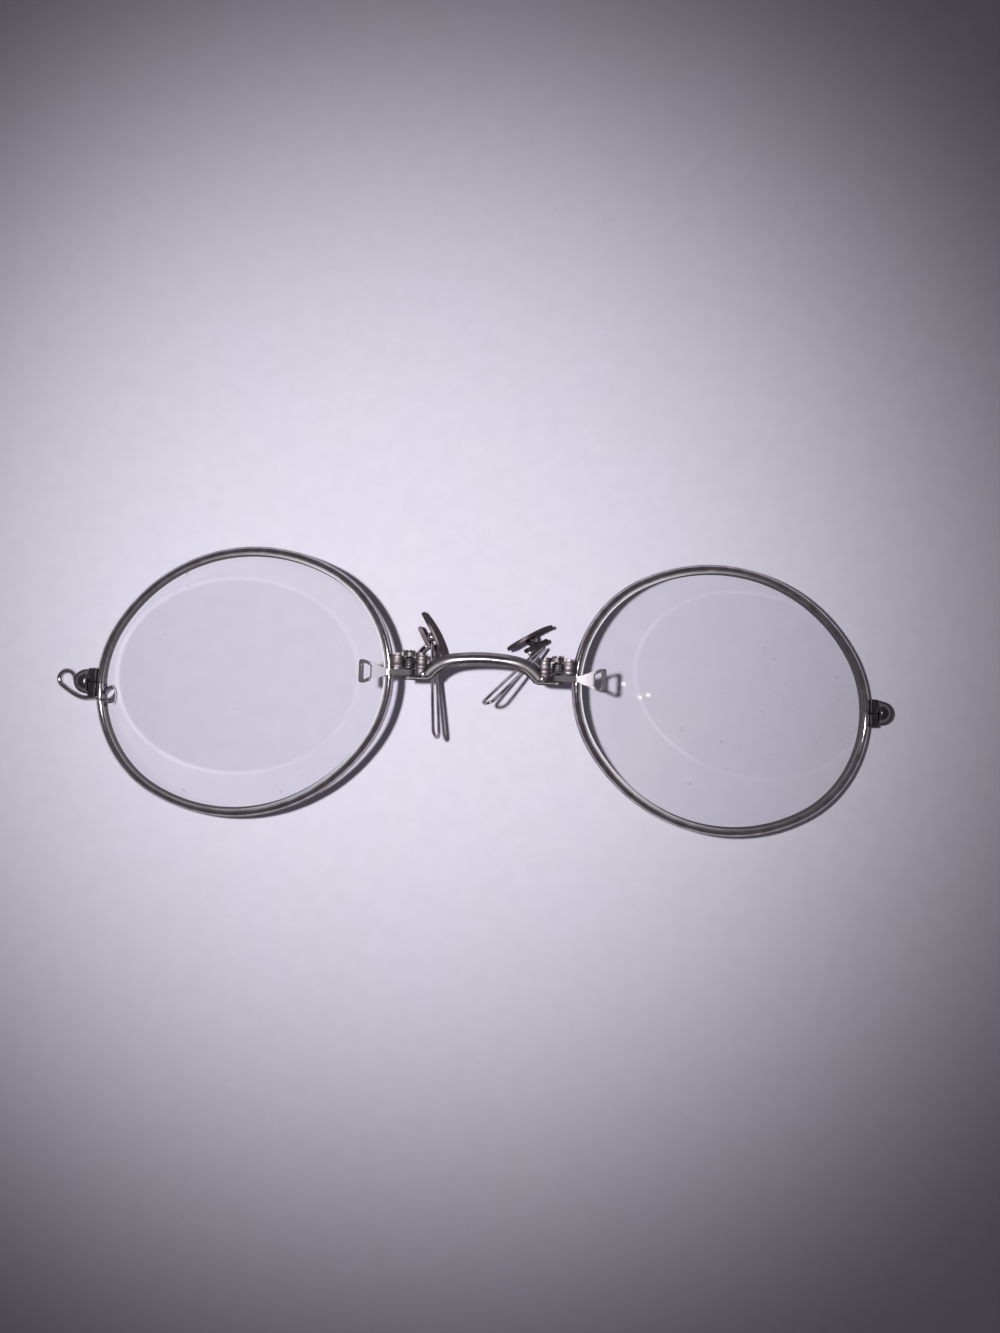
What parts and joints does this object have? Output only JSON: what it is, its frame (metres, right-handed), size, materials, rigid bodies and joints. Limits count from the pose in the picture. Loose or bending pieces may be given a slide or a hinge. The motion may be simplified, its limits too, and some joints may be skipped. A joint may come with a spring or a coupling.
{
  "type": "pince-nez eyeglasses",
  "caption": "Finger-piece pince-nez with oval wire rims, glass lenses, a round arched bridge, sprung finger levers with nose guards, ball ends and a cord hook.",
  "frame": {"origin": "on the resting plane, midway between the two lens centres", "axes": "+X across the face towards the right lens of the front view, +Y up the face, +Z out of the front"},
  "size_m": [0.1106, 0.0344, 0.0147],
  "materials": {
    "nickel": "bright nickel alloy, worn",
    "dark_nickel": "nickel alloy, tarnished",
    "glass": "clear, with a little dust"
  },
  "bodies": {
    "frame": {"bridge": "nickel", "bridge_rivet_left": "nickel", "bridge_rivet_right": "nickel", "rim_left": "nickel", "rim_right": "nickel", "lens_left": "glass", "lens_right": "glass", "closing_block_upper_left": "dark_nickel", "closing_block_upper_right": "dark_nickel", "closing_block_lower_left": "dark_nickel", "closing_block_lower_right": "dark_nickel", "closing_screw_left": "nickel", "closing_screw_right": "nickel", "ball_end_left": "dark_nickel", "ball_end_right": "dark_nickel", "hinge_block_left": "dark_nickel", "hinge_block_right": "dark_nickel", "pivot_screw_left": "nickel", "pivot_screw_right": "nickel", "lever_spring_left": "nickel", "lever_spring_right": "nickel"},
    "lever_left": {"finger_lever_left": "nickel", "guard_arm_left": "nickel", "guard_bracket_left": "dark_nickel", "guard_loop_left": "nickel", "pad_pin_left": "nickel"},
    "lever_right": {"finger_lever_right": "nickel", "guard_arm_right": "nickel", "guard_bracket_right": "dark_nickel", "guard_loop_right": "nickel", "pad_pin_right": "nickel"},
    "pad_left": {"guard_pad_left": "dark_nickel"},
    "pad_right": {"guard_pad_right": "dark_nickel"},
    "hook": {"cord_hook": "nickel"}
  },
  "joints": [
    {"name": "lever_left_hinge", "type": "hinge", "parent": "frame", "child": "lever_left", "pos_m": [-0.00913, 0.00174, 0.01062], "axis": [0, 1, 0], "range_deg": [0, 22], "stiffness_Nm_per_rad": 0.01, "springref_deg": -14.32},
    {"name": "lever_right_hinge", "type": "hinge", "parent": "frame", "child": "lever_right", "pos_m": [0.00913, 0.00174, 0.01062], "axis": [0, -1, 0], "range_deg": [0, 22], "stiffness_Nm_per_rad": 0.01, "springref_deg": -14.32},
    {"name": "pad_left_rock", "type": "hinge", "parent": "lever_left", "child": "pad_left", "pos_m": [-0.00705, 0.00677, 0.00264], "axis": [-0.137, 0.0351, 0.9899], "range_deg": [-6, 6]},
    {"name": "pad_right_rock", "type": "hinge", "parent": "lever_right", "child": "pad_right", "pos_m": [0.00609, 0.0067, 0.00294], "axis": [0.3696, 0.2049, 0.9063], "range_deg": [-6, 6]},
    {"name": "hook_swing", "type": "hinge", "parent": "frame", "child": "hook", "pos_m": [-0.05018, -0.00258, 0.00204], "axis": [0.075, -0.9971, 0.016], "range_deg": [0, 18]}
  ]
}
